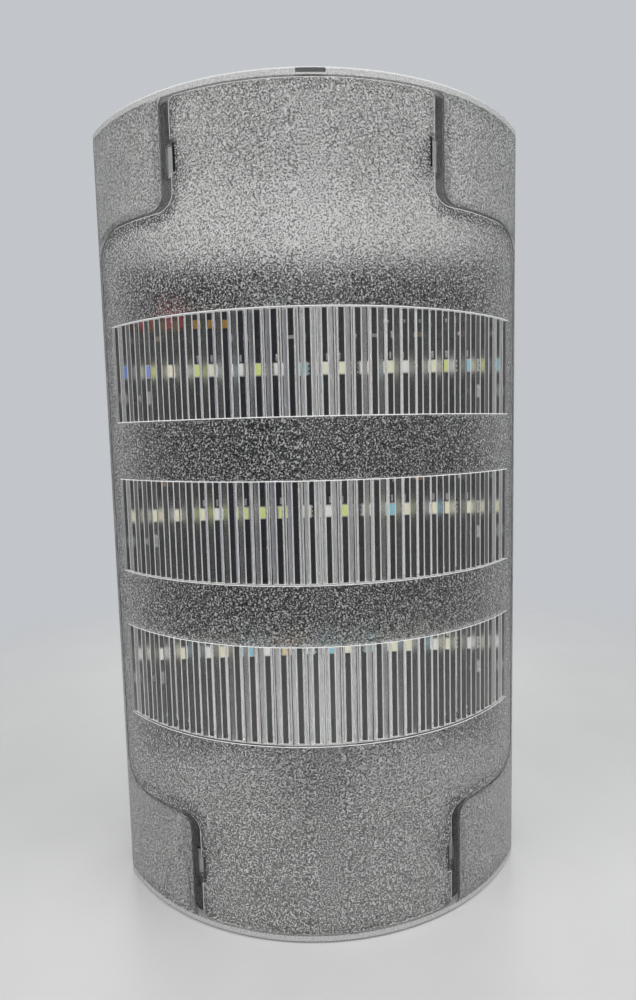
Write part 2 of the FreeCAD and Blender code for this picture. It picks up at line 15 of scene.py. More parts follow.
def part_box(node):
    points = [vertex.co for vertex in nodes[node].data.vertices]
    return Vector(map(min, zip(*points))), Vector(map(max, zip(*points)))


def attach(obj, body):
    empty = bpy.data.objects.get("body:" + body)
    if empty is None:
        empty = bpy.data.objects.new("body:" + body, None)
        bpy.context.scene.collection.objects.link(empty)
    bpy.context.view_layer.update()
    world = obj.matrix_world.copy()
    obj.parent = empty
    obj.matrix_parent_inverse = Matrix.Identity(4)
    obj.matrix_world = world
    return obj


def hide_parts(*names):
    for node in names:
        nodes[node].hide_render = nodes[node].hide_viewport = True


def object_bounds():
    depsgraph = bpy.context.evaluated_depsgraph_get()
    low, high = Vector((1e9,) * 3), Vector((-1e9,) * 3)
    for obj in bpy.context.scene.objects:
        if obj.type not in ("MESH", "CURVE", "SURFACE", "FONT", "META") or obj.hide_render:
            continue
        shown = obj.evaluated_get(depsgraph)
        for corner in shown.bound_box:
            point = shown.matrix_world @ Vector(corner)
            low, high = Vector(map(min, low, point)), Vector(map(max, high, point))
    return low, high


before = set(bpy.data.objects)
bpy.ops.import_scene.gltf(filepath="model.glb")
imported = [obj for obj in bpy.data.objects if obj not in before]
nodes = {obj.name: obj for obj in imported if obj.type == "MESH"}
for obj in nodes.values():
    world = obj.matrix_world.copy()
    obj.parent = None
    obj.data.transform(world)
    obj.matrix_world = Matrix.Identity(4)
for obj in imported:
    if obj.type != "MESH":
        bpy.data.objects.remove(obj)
cad_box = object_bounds()
scene = bpy.context.scene
MM = 0.001
print("CAD box in mm:", [[round(v / MM, 1) for v in corner] for corner in cad_box])

# %% [markdown]
# ## The camera first
# A close view with a short lens makes the upright sides run together towards the bottom. The camera stands a
# little to the left, looks slightly down, and is tilted a little, so we build its axes from those three
# angles.

# %% Camera
CAMERA_PLACE = Vector((-8.1, -232.9, 159.7)) * MM
CAMERA_TURN = math.radians(2.19)
CAMERA_DIP = math.radians(5.83)
CAMERA_TILT = math.radians(-1.38)
LENS = 23.88                      # mm, on a 36 mm tall sensor


def aimed(turn, dip, tilt):
    """Camera axes as a matrix: a turn to the right, a dip below level, then a tilt about the view line."""
    forward = Vector((math.sin(turn) * math.cos(dip), math.cos(turn) * math.cos(dip), -math.sin(dip)))
    level = Vector((math.cos(turn), -math.sin(turn), 0))
    right = level * math.cos(tilt) + level.cross(forward) * math.sin(tilt)
    up = right.cross(forward)
    return Matrix((right, up, -forward)).transposed()


camera = bpy.data.objects.new("camera", bpy.data.cameras.new("camera"))
camera.data.lens = LENS
camera.data.clip_start = 0.01
camera.matrix_world = Matrix.Translation(CAMERA_PLACE) @ aimed(CAMERA_TURN, CAMERA_DIP, CAMERA_TILT).to_4x4()
scene.collection.objects.link(camera)
scene.camera = camera
scene.view_settings.view_transform = "Standard"
print("camera at", [round(v / MM, 1) for v in CAMERA_PLACE], "mm")

# %% [markdown]
# ## Shader maths as expressions
# A material is easier to read as a formula. Value wraps one number-carrying socket, so that `1 - mask * 0.5`
# adds the Math nodes by itself. Finish makes the material, and its node method adds any other node.


# %% Value and Finish
class Value:
    """A number that a node gives, with arithmetic that adds Math nodes."""

    def __init__(self, finish, socket):
        self.finish = finish
        self.socket = socket

    def math(self, operation, *others, clamp=False):
        inputs = {index + 1: other for index, other in enumerate(others)}
        node = self.finish.node("ShaderNodeMath", {"operation": operation, "use_clamp": clamp},
                                {0: self, **inputs})
        return node(0)

    def __add__(self, other): return self.math("ADD", other)
    def __radd__(self, other): return self.math("ADD", other)
    def __sub__(self, other): return self.math("SUBTRACT", other)
    def __rsub__(self, other): return (self * -1).math("ADD", other)
    def __mul__(self, other): return self.math("MULTIPLY", other)
    def __rmul__(self, other): return self.math("MULTIPLY", other)
    def __truediv__(self, other): return self.math("DIVIDE", other)
    def __neg__(self): return self * -1
    def __abs__(self): return self.math("ABSOLUTE")

    def step(self, edge, width):
        """0 below the edge and 1 above it, with a smooth change over the width."""
        node = self.finish.node("ShaderNodeMapRange", {"interpolation_type": "SMOOTHSTEP"},
                                {"Value": self, "From Min": edge - width / 2, "From Max": edge + width / 2})
        return node(0)

    def between(self, low, high, width):
        return self.step(low, width) * (1 - self.step(high, width))


class Finish:
    """A material and the few ways in which we add nodes to it."""

    def __init__(self, name):
        self.material = bpy.data.materials.new(name)
        self.material.use_nodes = True
        self.tree = self.material.node_tree
        self.tree.nodes.clear()

    @classmethod
    def on(cls, tree):
        """The same tools on another node tree, such as the world's."""
        finish = cls.__new__(cls)
        finish.tree = tree
        tree.nodes.clear()
        return finish

    def node(self, kind, settings=None, inputs=None):
        """Adds a node; returns a function that gives one of its outputs as a Value."""
        made = self.tree.nodes.new(kind)
        for name, setting in (settings or {}).items():
            if name == "stops":
                fill_ramp(made.color_ramp, setting)
            else:
                setattr(made, name, setting)
        for key, value in (inputs or {}).items():
            if isinstance(value, Value):
                self.tree.links.new(value.socket, made.inputs[key])
            else:
                made.inputs[key].default_value = value
        return lambda key: Value(self, made.outputs[key])

    def place(self):
        """The object's own coordinates, in millimetres, as (vector, x, y, z)."""
        here = self.node("ShaderNodeTexCoord")("Object")
        scaled = self.node("ShaderNodeVectorMath", {"operation": "SCALE"}, {0: here, "Scale": 1 / MM})(0)
        split = self.node("ShaderNodeSeparateXYZ", inputs={0: scaled})
        return scaled, split("X"), split("Y"), split("Z")

    def noise(self, vector, size, detail=2.0, roughness=0.5):
        """Smooth noise with blobs of about the given size in millimetres."""
        return self.node("ShaderNodeTexNoise", None, {"Vector": vector, "Scale": 1 / size, "Detail": detail,
                                                      "Roughness": roughness})("Fac")

    def mix(self, factor, first, second):
        """A colour between two colours."""
        node = self.tree.nodes.new("ShaderNodeMix")
        node.data_type = "RGBA"
        for key, value in (("Factor_Float", factor), ("A_Color", first), ("B_Color", second)):
            socket = next(s for s in node.inputs if s.identifier == key)
            if isinstance(value, Value):
                self.tree.links.new(value.socket, socket)
            else:
                socket.default_value = value if key == "Factor_Float" else (*value, 1)[:4]
        return Value(self, next(s for s in node.outputs if s.identifier == "Result_Color"))

    def bump(self, height, depth, strength=1.0, normal=None):
        """Turns a height of 0 to 1 into relief of the given depth in millimetres."""
        inputs = {"Height": height, "Distance": depth * MM, "Strength": strength}
        if normal is not None:
            inputs["Normal"] = normal
        return self.node("ShaderNodeBump", None, inputs)("Normal")

    def surface(self, **sockets):
        """Ends the material in one Principled shader; names use _ for spaces."""
        inputs = {name.replace("_", " "): value for name, value in sockets.items()}
        colour = inputs.get("Base Color")
        if colour is not None and not isinstance(colour, Value):
            inputs["Base Color"] = (*colour, 1)[:4]
        shader = self.node("ShaderNodeBsdfPrincipled", None, inputs)("BSDF")
        self.node("ShaderNodeOutputMaterial", None, {"Surface": shader})
        return self.material


def fill_ramp(ramp, stops):
    """Gives a ramp its colours, each from its place up to the next one."""
    ramp.interpolation = "CONSTANT"
    while len(ramp.elements) < len(stops):
        ramp.elements.new(1.0)
    for element, (place, colour) in zip(ramp.elements, stops):
        element.position = place
        element.color = (*colour, 1)[:4]


# %% [markdown]
# ## Sizes that the materials need
# The front is part of a cylinder. Its axis stands behind the foremost line by the front's radius, and the
# windows lie in three bands, so a few sizes tell any point whether it is on a window, on a rib's flank or in
# the channel beside the cover.

# %% Sizes of the mouldings, in millimetres
low, high = cad_box
FRONT_RADIUS = 82.5
COVER_INSIDE = 80.1
SEAT_RADIUS = 79.8
LEDGE_RADIUS = 78.0
AXIS_Y = low.y / MM + FRONT_RADIUS
MIDDLE_Z = (low.z + high.z) / 2 / MM
TOP_Z = high.z / MM
SIDE_X = high.x / MM
BACK_Y = high.y / MM
SKIN = 1.2                        # half a wall: what lies less deep belongs to the outer face
BLEND_RADIUS = 14.6               # between the curved front and the flat sides
BLEND_X, BLEND_Y = 57.39, 6.22    # where the blend's axis stands
TIER_PITCH = 50.0
WINDOW_HALF_HEIGHT = 15.6
WINDOW_HALF_ANGLE = math.radians(53.1)
RIB_PITCH = math.radians(3.54)
RIB_TIP_HALF = 0.9
RIB_FOOT_HALF = 2.3
KEY_STEP = 4.8                    # the top right tab is this much narrower
CATCH_X = (38.4, 41.0)            # the catch arm, from the middle of the light
CATCH_RISE = 110.8                # its middle, above and below the light's middle
CATCH_HALF = 4.6
CATCH_DEPTH = 1.5                 # the catches lie at least this far behind the front
SLOT_HALF_WIDTH = 4.2             # the release slot in the top rim, which gets painted shade
SLOT_HALF_HEIGHT = 0.7
SLOT_DEPTH = 5.2
CHANNEL_X = 37.0                  # the groove beside the cover's tabs, which gets painted shade, lies outside this
print("axis at y =", round(AXIS_Y, 1), "mm, middle at z =", round(MIDDLE_Z, 1), "mm")

# %% [markdown]
# ## Frosted clear plastic
# Polycarbonate bends light with an index of 1.58. The mould's spark-eroded outer face scatters what passes:
# roughness does the blur, a fine relief gives the sparkle, and a white haze mixed in by the same grain gives
# the milky bloom. The inner faces come from a polished core and stay smooth. In the windows the flank of each
# rib that faces in has a painted dark reflection of the boards, the other flank a painted highlight, and the
# rib's edges painted highlights as thin white lines with a painted glow. The cover's broken edge and the
# housing's end rims get painted highlights too; the groove beside the cover, the release slot and the
# catches get painted shade.

# %% Frosted plastic
PLASTIC_INDEX = 1.58
GRAIN_SIZE = 0.50
GRAIN_DEPTH = 0.20
# painted highlight on the rib flank that faces out, as a share of white
FLANK_PAINTED_HIGHLIGHT = 0.07
# painted glow of the bright rib lines
EDGE_PAINTED_GLOW = 0.16
INNER_FLANK_SHADE = 0.03          # painted dark reflection of the boards, on the flank that faces in
# painted highlight on the rib edges and window ends, as a share of white
EDGE_PAINTED_HIGHLIGHT = 1.0
# painted highlight round the housing's top and bottom rims
RIM_PAINTED_HIGHLIGHT = 0.5
# painted highlight on the cover's broken edge
CHAMFER_PAINTED_HIGHLIGHT = 0.75
FACING_ANGLE = 0.07               # within this many radians of the middle both flanks get painted highlights and none is painted dark
TIP_LINE = 0.18                   # painted bright lines, as reaches to each side of an edge in millimetres
FOOT_LINE = (0.30, 0.08)
END_LINE = (0.10, 0.12)
CHAMFER_SPAN = (0.38, 0.06)       # the cover's broken edge with its painted highlight, as depths below the front
POLISHED = 0.02                   # roughness of the faces without frost
FLANK_BLUR = 0.25
# painted shade in the groove beside the cover and in the release slot
CHANNEL_PAINTED_SHADE = (0.22, 0.225, 0.23)
# painted shade on the catch arms
CATCH_PAINTED_SHADE = (0.012, 0.012, 0.014)
FROST_WHITE = (0.88, 0.885, 0.87)
# white of the painted highlights and of the painted glow
HIGHLIGHT_WHITE = (0.95, 0.95, 0.94)


def radius_of(finish, x, y):
    """Distance from the front's upright axis."""
    back = y - AXIS_Y
    return (x * x + back * back).math("SQRT")


def skin_of_housing(radius, x, y, z):
    """1 on the housing's outer faces: the curved front, its blends, the sides, the back and both ends."""
    wide = abs(x)
    beside = wide - BLEND_X
    behind = y - BLEND_Y
    from_blend = (beside * beside + behind * behind).math("SQRT")
    front = radius.step(FRONT_RADIUS - SKIN, 0.4) * (1 - wide.step(BLEND_X + 8, 0.2))
    blend = from_blend.step(BLEND_RADIUS - SKIN, 0.2) * wide.step(BLEND_X + 8, 0.2)
    side = wide.step(SIDE_X - SKIN, 0.2)
    ends = abs(z - MIDDLE_Z).step(TOP_Z - MIDDLE_Z - SKIN, 0.2)
    faces = front.math("MAXIMUM", blend).math("MAXIMUM", side).math("MAXIMUM", ends)
    return faces.math("MAXIMUM", y.step(BACK_Y - SKIN, 0.2))


def cover_zones(radius, x, y, z):
    """Masks for the cover: frost, flanks facing out (painted highlight) and in (painted dark), painted edge
    lines, painted shade on the catches.
    """
    angle = x.math("ARCTAN2", AXIS_Y - y)
    tier = (z - MIDDLE_Z) / TIER_PITCH
    from_tier = abs(tier - tier.math("ROUND")) * TIER_PITCH
    on_tier = 1 - abs(z - MIDDLE_Z).step(TIER_PITCH * 1.5, 1.0)
    across_window = on_tier * (1 - abs(angle).step(WINDOW_HALF_ANGLE, 0.003))
    window = (1 - from_tier.step(WINDOW_HALF_HEIGHT, 0.1)) * across_window
    inside = 1 - radius.step(COVER_INSIDE + 0.3, 0.1)
    across = (angle / RIB_PITCH).math("FRACT") - 0.5
    from_rib = across * RIB_PITCH * radius
    # which flank faces out on each side of the middle: it gets a painted highlight, the other a painted dark
    # reflection
    outward = (across * angle.math("SIGN")).step(0.0, 0.05)
    facing = outward.math("MAXIMUM", 1 - abs(angle).step(FACING_ANGLE, 0.04))
    flank = abs(from_rib).between(RIB_TIP_HALF + 0.05, RIB_FOOT_HALF - 0.05, 0.04)
    # painted highlights as thin white lines on the rib tips, the rib feet and the windows' ends
    tip_line = abs(from_rib).between(RIB_TIP_HALF - TIP_LINE, RIB_TIP_HALF + TIP_LINE, 0.05) * facing
    foot_line = abs(from_rib).between(RIB_FOOT_HALF - FOOT_LINE[0], RIB_FOOT_HALF + FOOT_LINE[1], 0.05)
    foot_line = foot_line * (1 - outward)
    end_line = from_tier.between(WINDOW_HALF_HEIGHT - END_LINE[0], WINDOW_HALF_HEIGHT + END_LINE[1], 0.06)
    end_line = end_line * across_window
    painted_edge_lines = (tip_line.math("MAXIMUM", foot_line) * window * inside).math("MAXIMUM", end_line)
    # the flanks that face in get a painted dark reflection of the boards
    painted_dark_flank = flank * (1 - facing) * window * inside
    frost = radius.step(FRONT_RADIUS - SKIN, 0.4) * (1 - window)
    # painted shade on the catch arms, found by their place
    keyed = abs(x) + z.step(MIDDLE_Z, 1.0) * x.step(0.0, 1.0) * KEY_STEP
    catch_shade = keyed.between(CATCH_X[0], CATCH_X[1], 0.1) * (1 - radius.step(FRONT_RADIUS - CATCH_DEPTH, 0.1))
    catch_shade = catch_shade * (1 - abs(abs(z - MIDDLE_Z) - CATCH_RISE).step(CATCH_HALF, 0.1))
    return frost, flank * facing * window * inside, painted_dark_flank, painted_edge_lines, catch_shade


def clear_plastic(name, roughness, tint, grain_shade, haze_range, is_cover):
    """Clear plastic whose outer face is frosted, with painted highlights, painted shade and, on the cover, a
    painted glow.

    grain_shade is the share of the tint left where the grain is low, and haze_range is the share of white
    where the grain is low and where it is high."""
    finish = Finish(name)
    here, x, y, z = finish.place()
    radius = radius_of(finish, x, y)
    if is_cover:
        frost, flank, painted_dark_flank, painted_edge_lines, painted_shade = cover_zones(radius, x, y, z)
    else:
        frost = skin_of_housing(radius, x, y, z)
        # painted shade in the groove beside the cover's tabs and in the release slot
        channel = radius.between(LEDGE_RADIUS - 0.5, SEAT_RADIUS + 0.15, 0.2) * abs(x).step(CHANNEL_X, 0.5)
        slot = abs(x).math("LESS_THAN", SLOT_HALF_WIDTH)
        slot = slot * (z - TOP_Z + SKIN).between(-SLOT_HALF_HEIGHT, SLOT_HALF_HEIGHT, 0.05)
        painted_shade = channel.math("MAXIMUM", slot * (1 - (y + (BACK_Y - SLOT_DEPTH)).step(0.0, 0.2)))
    grain = finish.noise(here, GRAIN_SIZE, detail=1.0, roughness=0.6)
    speckle = grain.step(0.57, 0.18)
    clear = grain.step(0.48, 0.24)
    haze_and_highlight = frost * (speckle * (haze_range[1] - haze_range[0]) + haze_range[0])
    rough = frost * roughness
    if is_cover:
        # painted highlights on the flanks that face out, the rib edges and the cover's broken edge
        chamfer = radius.between(FRONT_RADIUS - CHAMFER_SPAN[0], FRONT_RADIUS - CHAMFER_SPAN[1], 0.05)
        haze_and_highlight = haze_and_highlight.math("MAXIMUM", flank * FLANK_PAINTED_HIGHLIGHT).math("MAXIMUM", painted_edge_lines * EDGE_PAINTED_HIGHLIGHT)
        haze_and_highlight = haze_and_highlight.math("MAXIMUM", chamfer * CHAMFER_PAINTED_HIGHLIGHT)
        rough = rough + flank * FLANK_BLUR
    else:
        # painted highlight on the housing's end rims
        rim = abs(z - MIDDLE_Z).step(TOP_Z - MIDDLE_Z - 2 * SKIN, 0.3)
        haze_and_highlight = haze_and_highlight.math("MAXIMUM", rim * frost * RIM_PAINTED_HIGHLIGHT)
    grainy = 1 - frost * (1 - clear)
    shaded = finish.mix(grainy, tuple(c * grain_shade for c in tint), tint)
    if is_cover:
        # painted dark reflection of the boards on the flanks that face in
        shaded = finish.mix(painted_dark_flank, shaded, tuple(c * INNER_FLANK_SHADE for c in tint))
    white = finish.mix(frost, HIGHLIGHT_WHITE, FROST_WHITE)
    # the painted bright lines also have a painted glow
    painted_glow = finish.mix(painted_edge_lines, (0, 0, 0), HIGHLIGHT_WHITE) if is_cover else (0, 0, 0, 1)
    relief = finish.bump(grain, GRAIN_DEPTH, strength=frost)
    # painted shade darkens the plastic in the groove, the slot and the catches
    coloured = finish.mix(painted_shade, shaded, CATCH_PAINTED_SHADE if is_cover else CHANNEL_PAINTED_SHADE)
    glass = finish.node("ShaderNodeBsdfPrincipled", None, {
        "Base Color": coloured, "Roughness": rough + POLISHED, "IOR": PLASTIC_INDEX,
        "Transmission Weight": 1.0, "Normal": relief})("BSDF")
    # a white layer: the frost's milky haze, the painted highlights and the painted glow
    bloom_and_highlight = finish.node("ShaderNodeBsdfPrincipled", None, {
        "Base Color": white, "Roughness": 0.6, "Normal": relief, "Emission Color": painted_glow,
        "Emission Strength": EDGE_PAINTED_GLOW})("BSDF")
    haze_and_highlight = haze_and_highlight * (1 - painted_shade)
    both = finish.node("ShaderNodeMixShader", None, {0: haze_and_highlight, 1: glass, 2: bloom_and_highlight})("Shader")
    finish.node("ShaderNodeOutputMaterial", None, {"Surface": both})
    return finish.material


housing_plastic = clear_plastic("housing_plastic", 0.30, (0.84, 0.84, 0.825), 0.20,
                                haze_range=(0.02, 0.52), is_cover=False)
cover_plastic = clear_plastic("cover_plastic", 0.24, (0.95, 0.95, 0.935), 0.18,
                              haze_range=(0.0, 0.42), is_cover=True)
print("frosted plastics:", housing_plastic.name, cover_plastic.name)

# %% [markdown]
# ## Smooth mouldings from the CAD solids
# A CAD solid arrives as loose flat triangles. On clear plastic every flat would show as a bent reflection.
# We copy each moulding, join its triangles, and then tell each corner of the front's faces which way the
# true cylinder faces there.

# %% Smooth copies
SMOOTH_ANGLE = math.radians(25)
CYLINDERS = [FRONT_RADIUS, COVER_INSIDE, SEAT_RADIUS, LEDGE_RADIUS]


def smooth_copy(node, name, material):
    mesh = nodes[node].data.copy()
    mesh.name = name
    if "custom_normal" in mesh.attributes:
        mesh.attributes.remove(mesh.attributes["custom_normal"])
    work = bmesh.new()
    work.from_mesh(mesh)
    bmesh.ops.remove_doubles(work, verts=work.verts, dist=2e-6)
    work.to_mesh(mesh)
    work.free()
    mesh.polygons.foreach_set("use_smooth", [True] * len(mesh.polygons))
    mesh.set_sharp_from_angle(angle=SMOOTH_ANGLE)
    normals = [Vector(corner.vector) for corner in mesh.corner_normals]
    axis = Vector((0, AXIS_Y * MM))
    fitted = 0
    for face in mesh.polygons:
        if abs(face.normal.z) > 0.05:
            continue
        spokes = [mesh.vertices[i].co.xy - axis for i in face.vertices]
        radii = [spoke.length / MM for spoke in spokes]
        out = sum(spokes, Vector((0, 0))).normalized()
        along = out.dot(face.normal.xy)
        on_front = any(max(abs(r - cylinder) for r in radii) < 0.02 for cylinder in CYLINDERS)
        if on_front and abs(along) > 0.99:
            side = 1 if along > 0 else -1
            for loop, spoke in zip(face.loop_indices, spokes):
                unit = spoke.normalized() * side
                normals[loop] = Vector((unit.x, unit.y, 0))
            fitted += 1
    mesh.normals_split_custom_set(normals)
    mesh.materials.clear()
    mesh.materials.append(material)
    piece = bpy.data.objects.new(name, mesh)
    scene.collection.objects.link(piece)
    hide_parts(node)
    print(name, "has", len(mesh.polygons), "faces,", fitted, "of them on the front's cylinders")
    return piece


housing = smooth_copy("rear_housing", "housing_moulding", housing_plastic)
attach(housing, "base")
cover = smooth_copy("front_cover", "cover_moulding", cover_plastic)
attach(cover, "cover")

# %% [markdown]
# ## Plain finishes for the inside
# Most inner parts are small mouldings and boards. Each gets its own colour, a roughness that varies a little,
# and a fine relief, so that none is a flat colour.


# %% Inner finishes
def moulded(name, colour, roughness, grain=0.4, depth=0.02, **extra):
    """Moulded plastic or rubber: a fine texture and a slightly uneven gloss."""
    finish = Finish(name)
    here, x, y, z = finish.place()
    fine = finish.noise(here, grain)
    patches = finish.noise(here, 6.0)
    darker = tuple(c * 0.8 for c in colour)
    return finish.surface(Base_Color=finish.mix(patches, darker, colour),
                          Roughness=patches * 0.15 + (roughness - 0.07),
                          Normal=finish.bump(fine, depth), **extra)


def metal(name, colour, roughness, grain=0.15):
    finish = Finish(name)
    here, x, y, z = finish.place()
    fine = finish.noise(here, grain, detail=4.0)
    return finish.surface(Base_Color=colour, Metallic=1.0, Roughness=fine * 0.2 + (roughness - 0.1),
                          Normal=finish.bump(fine, 0.004))


def solder_mask(name):
    """Black lacquer over copper: tracks stand up a little under it and look a little lighter."""
    finish = Finish(name)
    here, x, y, z = finish.place()
    lanes = (z / 2.54).math("FRACT").between(0.35, 0.65, 0.08)
    blocks = finish.noise(here, 9.0, detail=1.0).step(0.5, 0.02)
    tracks = lanes * blocks
    blotches = finish.noise(here, 3.0)
    colour = finish.mix(tracks * 0.6, (0.010, 0.010, 0.012), (0.028, 0.029, 0.034))
    return finish.surface(Base_Color=colour, Roughness=blotches * 0.1 + 0.42, IOR=1.45,
                          Normal=finish.bump(tracks, 0.035))


black_mould = moulded("black_mould", (0.014, 0.014, 0.016), 0.5)
board_black = solder_mask("board_black")
chip_black = moulded("chip_black", (0.02, 0.02, 0.022), 0.45)
white_package = moulded("white_package", (0.95, 0.94, 0.90), 0.35)
ceramic_white = moulded("ceramic_white", (0.72, 0.70, 0.64), 0.4)
ceramic_tan = moulded("ceramic_tan", (0.42, 0.27, 0.14), 0.4)
resin_brown = moulded("resin_brown", (0.30, 0.10, 0.02), 0.35)
resin_yellow = moulded("resin_yellow", (0.85, 0.48, 0.06), 0.35)
film_red = moulded("film_red", (0.62, 0.02, 0.02), 0.25)
grey_plastic = moulded("grey_plastic", (0.60, 0.62, 0.63), 0.4)
lever_white = moulded("lever_white", (0.78, 0.78, 0.75), 0.4)
black_rubber = moulded("black_rubber", (0.02, 0.02, 0.02), 0.7)
tin = metal("tin", (0.82, 0.82, 0.80), 0.25)
gold = metal("gold", (0.90, 0.68, 0.32), 0.3)
steel = metal("zinc_steel", (0.78, 0.79, 0.80), 0.28)
can_metal = metal("can_metal", (0.80, 0.81, 0.83), 0.3)

# colours of the lenses and of their painted glow
LENS_COLOURS = ((0.0, (0.96, 0.92, 0.70)), (0.34, (0.95, 0.95, 0.92)), (0.52, (0.78, 0.86, 0.30)),
                (0.66, (0.96, 0.92, 0.70)), (0.78, (0.30, 0.66, 0.80)), (0.88, (0.16, 0.30, 0.85)),
                (0.94, (0.95, 0.66, 0.30)))
LENS_PATCH = 7.1                  # mm of a row that share one colour
NEXT_TIER = 17.0                  # how far the colours shift from one tier to the next


def lens_resin(name):
    """The lights' lenses, each patch of a row in a colour picked at random from a list, with a painted glow.
    """
    finish = Finish(name)
    here, x, y, z = finish.place()
    which = (x / LENS_PATCH).math("FLOOR") + (z / TIER_PITCH).math("FLOOR") * NEXT_TIER
    chance = finish.node("ShaderNodeTexWhiteNoise", {"noise_dimensions": "1D"}, {"W": which})("Value")
    colour = finish.node("ShaderNodeValToRGB", {"stops": LENS_COLOURS}, {"Fac": chance})("Color")
    # painted glow: the lenses give off a little light in their own colour
    return finish.surface(Base_Color=colour, Roughness=0.2, Coat_Weight=0.5, Emission_Color=colour,
                          Emission_Strength=0.4, Normal=finish.bump(finish.noise(here, 0.3), 0.01))


lens_painted_glow = lens_resin("lens_painted_glow")

CAD_FINISHES = {
    "board_carrier": black_mould, "board_links": black_mould, "led_board_top": board_black,
    "led_board_middle": board_black, "led_board_bottom": board_black, "film_capacitor": film_red,
    "tantalum_capacitors": resin_yellow, "control_chips": chip_black, "terminal_board": board_black,
    "terminal_block": grey_plastic, "cable_grommet": black_rubber, "driver_parts_top": ceramic_white,
    "driver_parts_middle": ceramic_white, "driver_parts_bottom": ceramic_white,
    "control_resistors": ceramic_white, "electrolytic_capacitors": can_metal, "board_screws": steel,
    "leds_top": white_package, "leds_middle": white_package, "leds_bottom": white_package,
}
for node, material in CAD_FINISHES.items():
    nodes[node].data.materials.clear()
    nodes[node].data.materials.append(material)
buttons = sorted(name for name in nodes if name.startswith("terminal_button"))
for node in buttons:
    nodes[node].data.materials.clear()
    nodes[node].data.materials.append(lever_white)
print(len(CAD_FINISHES) + len(buttons), "CAD nodes dressed")

# %% [markdown]
# ## Small parts in rows
# The boards carry rows of equal parts, the same on each tier. One Geometry Nodes tree copies a part along a
# row and repeats the row upwards. Each call below makes one mesh, so a row of bodies, its tin ends and its
# lenses are separate pieces with a finish each.

# %% The row tree
ROW_INPUTS = (("Part", "NodeSocketObject"), ("First", "NodeSocketVector"), ("Step", "NodeSocketVector"),
              ("Count", "NodeSocketInt"), ("Rise", "NodeSocketVector"), ("Rows", "NodeSocketInt"),
              ("Finish", "NodeSocketMaterial"))


def build_row_tree():
    tree = bpy.data.node_groups.new("part_rows", "GeometryNodeTree")
    for name, kind in ROW_INPUTS:
        tree.interface.new_socket(name, in_out="INPUT", socket_type=kind)
    tree.interface.new_socket("Geometry", in_out="OUTPUT", socket_type="NodeSocketGeometry")
    add, link = tree.nodes.new, tree.links.new
    given = add("NodeGroupInput").outputs

    def line(count, start, offset):
        made = add("GeometryNodeMeshLine")
        made.mode = "OFFSET"
        link(given[count], made.inputs["Count"])
        if start:
            link(given[start], made.inputs["Start Location"])
        link(given[offset], made.inputs["Offset"])
        return made.outputs["Mesh"]

    def copies(points, part):
        spread = add("GeometryNodeInstanceOnPoints")
        link(points, spread.inputs["Points"])
        link(part, spread.inputs["Instance"])
        real = add("GeometryNodeRealizeInstances")
        link(spread.outputs["Instances"], real.inputs["Geometry"])
        return real.outputs["Geometry"]

    part = add("GeometryNodeObjectInfo")
    link(given["Part"], part.inputs["Object"])
    places = copies(line("Rows", "First", "Rise"), line("Count", None, "Step"))
    painted = add("GeometryNodeSetMaterial")
    link(copies(places, part.outputs["Geometry"]), painted.inputs["Geometry"])
    link(given["Finish"], painted.inputs["Material"])
    link(painted.outputs["Geometry"], add("NodeGroupOutput").inputs["Geometry"])
    return tree


ROW_TREE = build_row_tree()
SOCKETS = {item.name: item.identifier for item in ROW_TREE.interface.items_tree if item.in_out == "INPUT"}
print("row tree inputs:", list(SOCKETS))


# %% Shapes for the parts
def mesh_from(work, name):
    mesh = bpy.data.meshes.new(name)
    work.to_mesh(mesh)
    work.free()
    return mesh


def box_part(width, height, depth, bevel=0.12, at=(0, 0, 0)):
    """A block with broken edges whose back lies on y = 0; at moves it, all in millimetres."""
    work = bmesh.new()
    bmesh.ops.create_cube(work, size=1.0)
    bmesh.ops.scale(work, vec=Vector((width, depth, height)) * MM, verts=work.verts)
    bmesh.ops.translate(work, vec=Vector((at[0], at[1] - depth / 2, at[2])) * MM, verts=work.verts)
    bmesh.ops.bevel(work, geom=work.edges, offset=bevel * MM, segments=2, profile=0.6, affect="EDGES")
    return mesh_from(work, "block")


def round_part(profile, around=28):
    """A turned part about the Y axis, from (radius, y) pairs in millimetres."""
    work = bmesh.new()
    rings = []
    for radius, y in profile:
        turn = [2 * math.pi * step / around for step in range(around)]
        ring = [Vector((radius * math.cos(t), y, radius * math.sin(t))) * MM for t in turn]
        rings.append([work.verts.new(place) for place in ring])
    for near, far in zip(rings, rings[1:]):
        for step in range(around):
            after = (step + 1) % around
            work.faces.new((near[step], near[after], far[after], far[step]))
    work.faces.new(reversed(rings[0]))
    work.faces.new(rings[-1])
    bmesh.ops.recalc_face_normals(work, faces=work.faces)
    return mesh_from(work, "turned")


def joined(*meshes):
    work = bmesh.new()
    for mesh in meshes:
        work.from_mesh(mesh)
    return mesh_from(work, "joined")


def carved(mesh, cutter):
    """The mesh with the cutter's shape taken out of it."""
    body = bpy.data.objects.new("body", mesh)
    tool = bpy.data.objects.new("tool", cutter)
    for thing in (body, tool):
        scene.collection.objects.link(thing)
    cut = body.modifiers.new("cut", "BOOLEAN")
    cut.object = tool
    cut.operation = "DIFFERENCE"
    cut.solver = "EXACT"
    shapes = bpy.context.evaluated_depsgraph_get()
    result = bpy.data.meshes.new_from_object(body.evaluated_get(shapes))
    for thing in (body, tool):
        bpy.data.objects.remove(thing)
    return result


